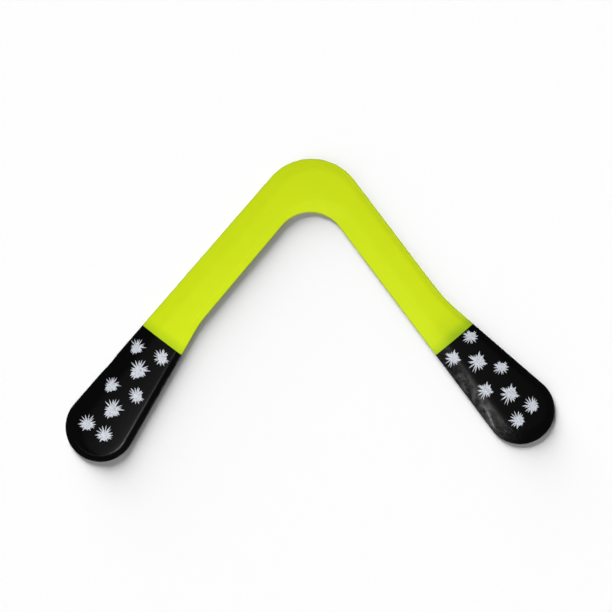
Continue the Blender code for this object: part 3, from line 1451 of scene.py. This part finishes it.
@dataclass(frozen=True)
class Studio:
    """A pale floor under soft light, and a camera straight above.

    The frame has its full width at the level given, and the camera sees a brighter world than the
    object does.
    """

    floor_half: float = 30.0
    floor_drop: float = 0.0001
    floor_colour: Colour = (0.90, 0.90, 0.90, 1.0)
    backdrop_colour: Colour = (1.0, 1.0, 1.0, 1.0)
    backdrop: float = 0.95
    ambient: float = 0.012
    level: float = 0.001
    frame_width: float = 0.4377
    lens: float = 100.0
    sensor: float = 36.0
    clip_end: float = 200.0
    aim: tuple[float, float] = (-0.0053, 0.0053)
    roll: float = np.radians(1.73)
    floor_lamps: tuple[Lamp, ...] = (
        Lamp("floor_key", azimuth=115.5, elevation=8.0, spread=43.0, strength=16.2),
        Lamp("floor_side", azimuth=230.8, elevation=15.4, spread=61.0, strength=2.0),
        Lamp("floor_dome", azimuth=0.0, elevation=90.0, spread=180.0, strength=0.145),
    )
    object_lamps: tuple[Lamp | Softbox, ...] = (
        Lamp("object_dome", azimuth=0.0, elevation=90.0, spread=180.0, strength=2.2, glossy=False),
        Softbox("softbox", place=(-0.05, -0.25, 0.42), width=0.10, power=0.9),
        Softbox("overhead", place=(0.0, 0.0, 1.5), width=0.8, power=0.72),
    )

    def floor(self) -> bpy.types.Object:
        """Lay the floor: one matt sheet, a little below the object.

        Returns:
            The floor.
        """
        side = np.array([-self.floor_half, self.floor_half])
        corners = np.stack(np.meshgrid(side, side), axis=-1).reshape(-1, 2)
        points = np.column_stack([corners, np.full(4, -self.floor_drop)])
        mesh = bpy.data.meshes.new("floor")
        mesh.from_pydata(points, [], [(0, 1, 3, 2)])
        material = bpy.data.materials.new("white_sheet")
        material.use_nodes = True
        shader = material.node_tree.nodes["Principled BSDF"]
        shader.inputs["Base Color"].default_value = self.floor_colour
        shader.inputs["Roughness"].default_value = 1.0
        shader.inputs["Specular IOR Level"].default_value = 0.0
        mesh.materials.append(material)
        floor = bpy.data.objects.new("floor", mesh)
        bpy.context.scene.collection.objects.link(floor)
        return floor

    def world(self) -> None:
        """Surround the scene with white that the camera sees and the object hardly reflects."""
        world = bpy.data.worlds.new("studio")
        world.use_nodes = True
        wiring, background = Wiring(world.node_tree), world.node_tree.nodes["Background"]
        seen = wiring.node("LightPath", {}).outputs["Is Camera Ray"]
        strength = wiring.node("MapRange", {0: seen, 3: self.ambient, 4: self.backdrop}).outputs[0]
        wiring.join(strength, background.inputs["Strength"])
        background.inputs["Color"].default_value = self.backdrop_colour
        bpy.context.scene.world = world

    def camera(self) -> None:
        """Hang the camera, looking straight down, and make it the scene's own."""
        data = bpy.data.cameras.new("camera")
        data.lens, data.sensor_width = self.lens, self.sensor
        data.clip_end = self.clip_end
        camera = bpy.data.objects.new("camera", data)
        camera.location = (*self.aim, self.level + self.frame_width * self.lens / self.sensor)
        camera.rotation_euler = (0.0, 0.0, self.roll)
        bpy.context.scene.collection.objects.link(camera)
        bpy.context.scene.camera = camera

    def build(self, pieces: list[bpy.types.Object]) -> None:
        """Set up everything round the finished pieces.

        Args:
            pieces: The object's own pieces.
        """
        floor = self.floor()
        for lamp in self.floor_lamps:
            lamp.build([floor])
        for lamp in self.object_lamps:
            lamp.build(pieces)
        self.world()
        self.camera()
        bpy.context.scene.view_settings.view_transform = "Standard"


# The boomerang


@dataclass(frozen=True)
class Boomerang:
    """The whole toy: the blade, a cover on each tip and the bursts printed on the covers.

    The bursts come in four radii, from least to large.
    """

    planform: Planform = Planform()
    airfoil: Airfoil = Airfoil()
    joint: Joint = Joint()
    left_dent: Dent = Dent(along=151.6, width=6.0, depth=0.45)
    least: float = 5.4
    small: float = 5.9
    medium: float = 6.9
    large: float = 7.3

    def left_bursts(self) -> tuple[Burst, ...]:
        """Lay out the left cover's bursts.

        Returns:
            Eight bursts, which repeat three designs.
        """
        return (
            Burst(-61.6, 13.6, self.small, Design.LEFT_FIRST),
            Burst(-65.9, -5.2, self.small, Design.LEFT_SECOND),
            Burst(-49.3, 2.5, self.large, Design.LEFT_FIRST),
            Burst(-29.1, 11.4, self.small, Design.LEFT_FIRST),
            Burst(-33.5, -7.4, self.small, Design.LEFT_SECOND),
            Burst(-15.9, 0.4, self.large, Design.LEFT_FIRST),
            Burst(3.1, 8.6, self.small, Design.LEFT_THIRD),
            Burst(2.0, -5.9, self.small, Design.LEFT_THIRD),
        )

    def right_bursts(self) -> tuple[Burst, ...]:
        """Lay out the right cover's bursts.

        Returns:
            Eight bursts, which repeat three more designs.
        """
        return (
            Burst(-62.8, 6.7, self.least, Design.RIGHT_FIRST),
            Burst(-59.5, -13.0, self.small, Design.RIGHT_SECOND),
            Burst(-46.3, -1.2, self.medium, Design.RIGHT_SECOND),
            Burst(-31.9, 9.2, self.least, Design.RIGHT_FIRST),
            Burst(-27.1, -10.1, self.small, Design.RIGHT_SECOND),
            Burst(-14.0, 1.4, self.medium, Design.RIGHT_SECOND),
            Burst(2.8, 8.3, self.small, Design.RIGHT_THIRD),
            Burst(4.2, -6.1, self.small, Design.RIGHT_THIRD),
        )

    def build(self) -> list[bpy.types.Object]:
        """Build, dress and mount every piece.

        Returns:
            The pieces.
        """
        left = Arm(Side.LEFT, self.planform, self.airfoil, self.left_dent)
        right = Arm(Side.RIGHT, self.planform, self.airfoil)
        effects = Effects()
        yellow = YellowPlastic("yellow_plastic", Slot.YELLOW, effects)
        black = BlackPlastic("black_plastic", Slot.BLACK, effects)
        ink = WhiteInk("white_ink", Slot.INK, effects)
        parts = (
            (Blade(left, right, self.joint), yellow),
            (TipCover(left, self.joint), black),
            (TipCover(right, self.joint), black),
            (Print(left, self.left_bursts()), ink),
            (Print(right, self.right_bursts()), ink),
        )
        materials = {finish.name: finish.material() for _, finish in parts}
        return [self.mount(part, finish, materials[finish.name]) for part, finish in parts]

    @staticmethod
    def mount(
        part: Blade | TipCover | Print, finish: Finish, material: bpy.types.Material
    ) -> bpy.types.Object:
        """Build one piece, dress it and let it ride on the boomerang.

        Args:
            part: What builds the piece.
            finish: Its finish, which is not used.
            material: The finish's material.

        Returns:
            The piece, which stands for a CAD node unless it is ink.
        """
        piece = part.build()
        piece.data.materials.append(material)
        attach(piece, BODY)
        if not isinstance(part, Print):
            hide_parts(part.node)
        LOG.info("%s: %d faces", piece.name, len(piece.data.polygons))
        return piece


def main() -> None:
    """Build the boomerang and its studio."""
    logging.basicConfig(level=logging.INFO)
    pieces = Boomerang().build()
    Studio().build(pieces)


if __name__ == "__main__":
    main()
